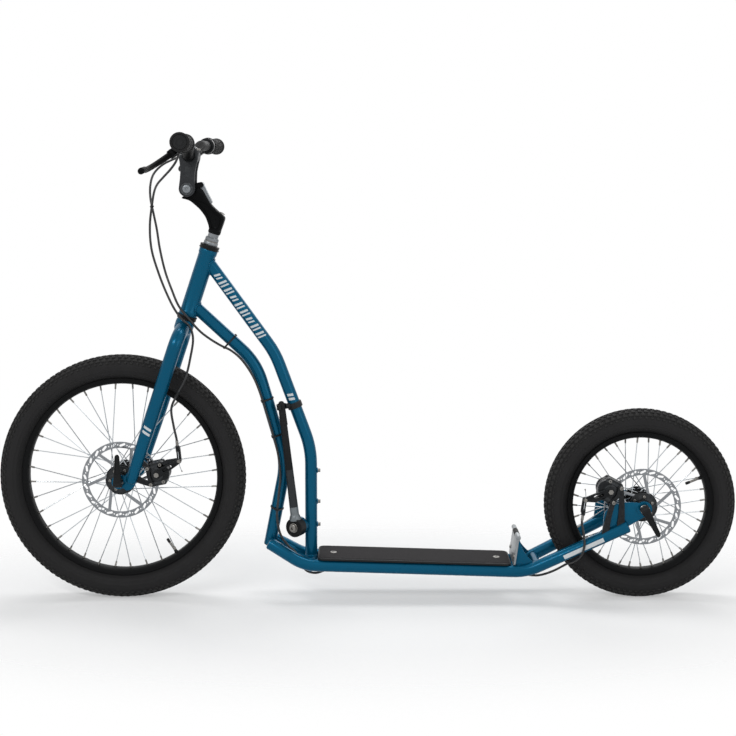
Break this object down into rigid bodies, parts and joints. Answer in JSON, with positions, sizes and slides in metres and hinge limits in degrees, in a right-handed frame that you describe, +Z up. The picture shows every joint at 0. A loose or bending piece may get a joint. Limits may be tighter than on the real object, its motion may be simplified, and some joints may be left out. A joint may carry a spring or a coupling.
{
  "type": "kick bike",
  "caption": "Two-wheeled kick bike with a low footboard, a large front wheel, an adjustable stem, disc brakes and a side stand.",
  "frame": {"origin": "on the ground, at the middle of the bounding box's bottom face, on the bike's middle plane", "axes": "+X along the bike to the rear, +Y to the rider's right, +Z up"},
  "size_m": [1.54, 0.6018, 0.9675],
  "materials": {
    "blue_enamel": "gloss powder coat over steel",
    "black_paint": "satin black paint",
    "black_alloy": "black anodised aluminium",
    "grey_alloy": "plain grey aluminium",
    "bright_steel": "bright steel",
    "tyre_rubber": "black tyre rubber with block tread",
    "grip_rubber": "soft black rubber",
    "cable_sheath": "black plastic sheath",
    "deck_grip": "gritty black grip surface",
    "pad_compound": "brake pad compound"
  },
  "bodies": {
    "frame": {"head_tube": "blue_enamel", "lower_headset_cup": "black_paint", "upper_headset_cup": "black_paint", "top_tube": "blue_enamel", "lower_tube": "blue_enamel", "left_rail": "blue_enamel", "right_rail": "blue_enamel", "front_cross_tube": "blue_enamel", "rear_cross_tube": "blue_enamel", "left_dropout": "blue_enamel", "right_dropout": "blue_enamel", "deck_board": "deck_grip", "foot_stop_plate": "grey_alloy", "left_gusset": "blue_enamel", "right_gusset": "blue_enamel", "stand_bracket": "black_paint", "stand_clip": "grey_alloy", "rear_axle": "bright_steel", "rear_caliper": "black_paint", "rear_caliper_bracket": "black_paint", "rear_brake_cable": "cable_sheath"},
    "steering": {"fork_steerer": "blue_enamel", "headset_lock_nut": "grey_alloy", "left_fork_leg": "blue_enamel", "right_fork_leg": "blue_enamel", "stem_neck": "black_paint", "front_axle": "bright_steel", "front_caliper": "black_paint", "front_caliper_bracket": "black_paint", "front_brake_cable": "cable_sheath"},
    "bars": {"stem_arm": "black_alloy", "stem_pivot_bolt": "grey_alloy", "bar_clamp_cap": "black_alloy", "handlebar": "black_paint", "left_grip": "grip_rubber", "right_grip": "grip_rubber", "left_lever_clamp": "black_paint", "right_lever_clamp": "black_paint"},
    "left_lever": {"left_brake_lever": "black_paint"},
    "right_lever": {"right_brake_lever": "black_paint"},
    "stem_lock": {"stem_lock_lever": "grey_alloy"},
    "front_wheel": {"front_tyre": "tyre_rubber", "front_rim": "black_paint", "front_right_spokes": "bright_steel", "front_left_spokes": "bright_steel", "front_hub": "black_paint", "front_brake_disc": "bright_steel"},
    "rear_wheel": {"rear_tyre": "tyre_rubber", "rear_rim": "black_paint", "rear_right_spokes": "bright_steel", "rear_left_spokes": "bright_steel", "rear_hub": "black_paint", "rear_brake_disc": "bright_steel"},
    "front_arm": {"front_caliper_arm": "black_alloy"},
    "rear_arm": {"rear_caliper_arm": "black_alloy"},
    "front_pad": {"front_moving_pad": "pad_compound"},
    "rear_pad": {"rear_moving_pad": "pad_compound"},
    "front_release": {"front_quick_release": "black_paint"},
    "rear_release": {"rear_quick_release": "black_paint"},
    "side_stand": {"stand_leg": "black_paint"}
  },
  "joints": [
    {"name": "steer", "type": "hinge", "parent": "frame", "child": "steering", "pos_m": [-0.49023, 0, 0.24942], "axis": [0.3156, 0, 0.9489], "range_deg": [-60, 60], "deforming": ["rear_brake_cable"]},
    {"name": "stem_tilt", "type": "hinge", "parent": "steering", "child": "bars", "pos_m": [-0.37084, 0, 0.85858], "axis": [0, 1, 0], "range_deg": [-25, 30], "deforming": ["front_brake_cable", "rear_brake_cable"]},
    {"name": "stem_lock_hinge", "type": "hinge", "parent": "steering", "child": "stem_lock", "pos_m": [-0.34334, 0, 0.86682], "axis": [0, -1, 0], "range_deg": [0, 60]},
    {"name": "left_lever_pivot", "type": "hinge", "parent": "bars", "child": "left_lever", "pos_m": [-0.37744, -0.17015, 0.92956], "axis": [-0.5876, -0.0246, 0.8088], "range_deg": [0, 22], "stiffness_Nm_per_rad": 1.2, "springref_deg": -8.59, "deforming": ["front_brake_cable"]},
    {"name": "right_lever_pivot", "type": "hinge", "parent": "bars", "child": "right_lever", "pos_m": [-0.37744, 0.17015, 0.92956], "axis": [0.5876, -0.0246, -0.8088], "range_deg": [0, 22], "stiffness_Nm_per_rad": 1.2, "springref_deg": -8.59, "deforming": ["rear_brake_cable"]},
    {"name": "front_wheel_spin", "type": "hinge", "parent": "steering", "child": "front_wheel", "pos_m": [-0.513, 0, 0.257], "axis": [0, 1, 0], "continuous": true},
    {"name": "rear_wheel_spin", "type": "hinge", "parent": "frame", "child": "rear_wheel", "pos_m": [0.57, 0, 0.2], "axis": [0, 1, 0], "continuous": true},
    {"name": "front_arm_pivot", "type": "hinge", "parent": "steering", "child": "front_arm", "pos_m": [-0.43463, -0.057, 0.27309], "axis": [0, -1, 0], "range_deg": [0, 15], "deforming": ["front_brake_cable"]},
    {"name": "rear_arm_pivot", "type": "hinge", "parent": "frame", "child": "rear_arm", "pos_m": [0.49936, -0.057, 0.23756], "axis": [0, -1, 0], "range_deg": [0, 15], "deforming": ["rear_brake_cable"]},
    {"name": "front_pad_slide", "type": "slide", "parent": "steering", "child": "front_pad", "axis": [0, 1, 0], "range_m": [0, 0.0006]},
    {"name": "rear_pad_slide", "type": "slide", "parent": "frame", "child": "rear_pad", "axis": [0, 1, 0], "range_m": [0, 0.0006]},
    {"name": "front_release_hinge", "type": "hinge", "parent": "steering", "child": "front_release", "pos_m": [-0.513, -0.06535, 0.257], "axis": [1, 0, 0], "range_deg": [0, 140]},
    {"name": "rear_release_hinge", "type": "hinge", "parent": "frame", "child": "rear_release", "pos_m": [0.57, -0.06535, 0.2], "axis": [-0.8829, 0, -0.4695], "range_deg": [0, 140]},
    {"name": "stand_hinge", "type": "hinge", "parent": "frame", "child": "side_stand", "pos_m": [-0.15, -0.022, 0.1535], "axis": [0.5, 0.866, 0], "range_deg": [0, 120]}
  ],
  "couplings": [
    {"joint": "front_arm_pivot", "follows": "left_lever_pivot", "ratio": 0.65},
    {"joint": "front_pad_slide", "follows": "left_lever_pivot", "m_per_rad": 0.0015},
    {"joint": "rear_arm_pivot", "follows": "right_lever_pivot", "ratio": 0.65},
    {"joint": "rear_pad_slide", "follows": "right_lever_pivot", "m_per_rad": 0.0015}
  ]
}
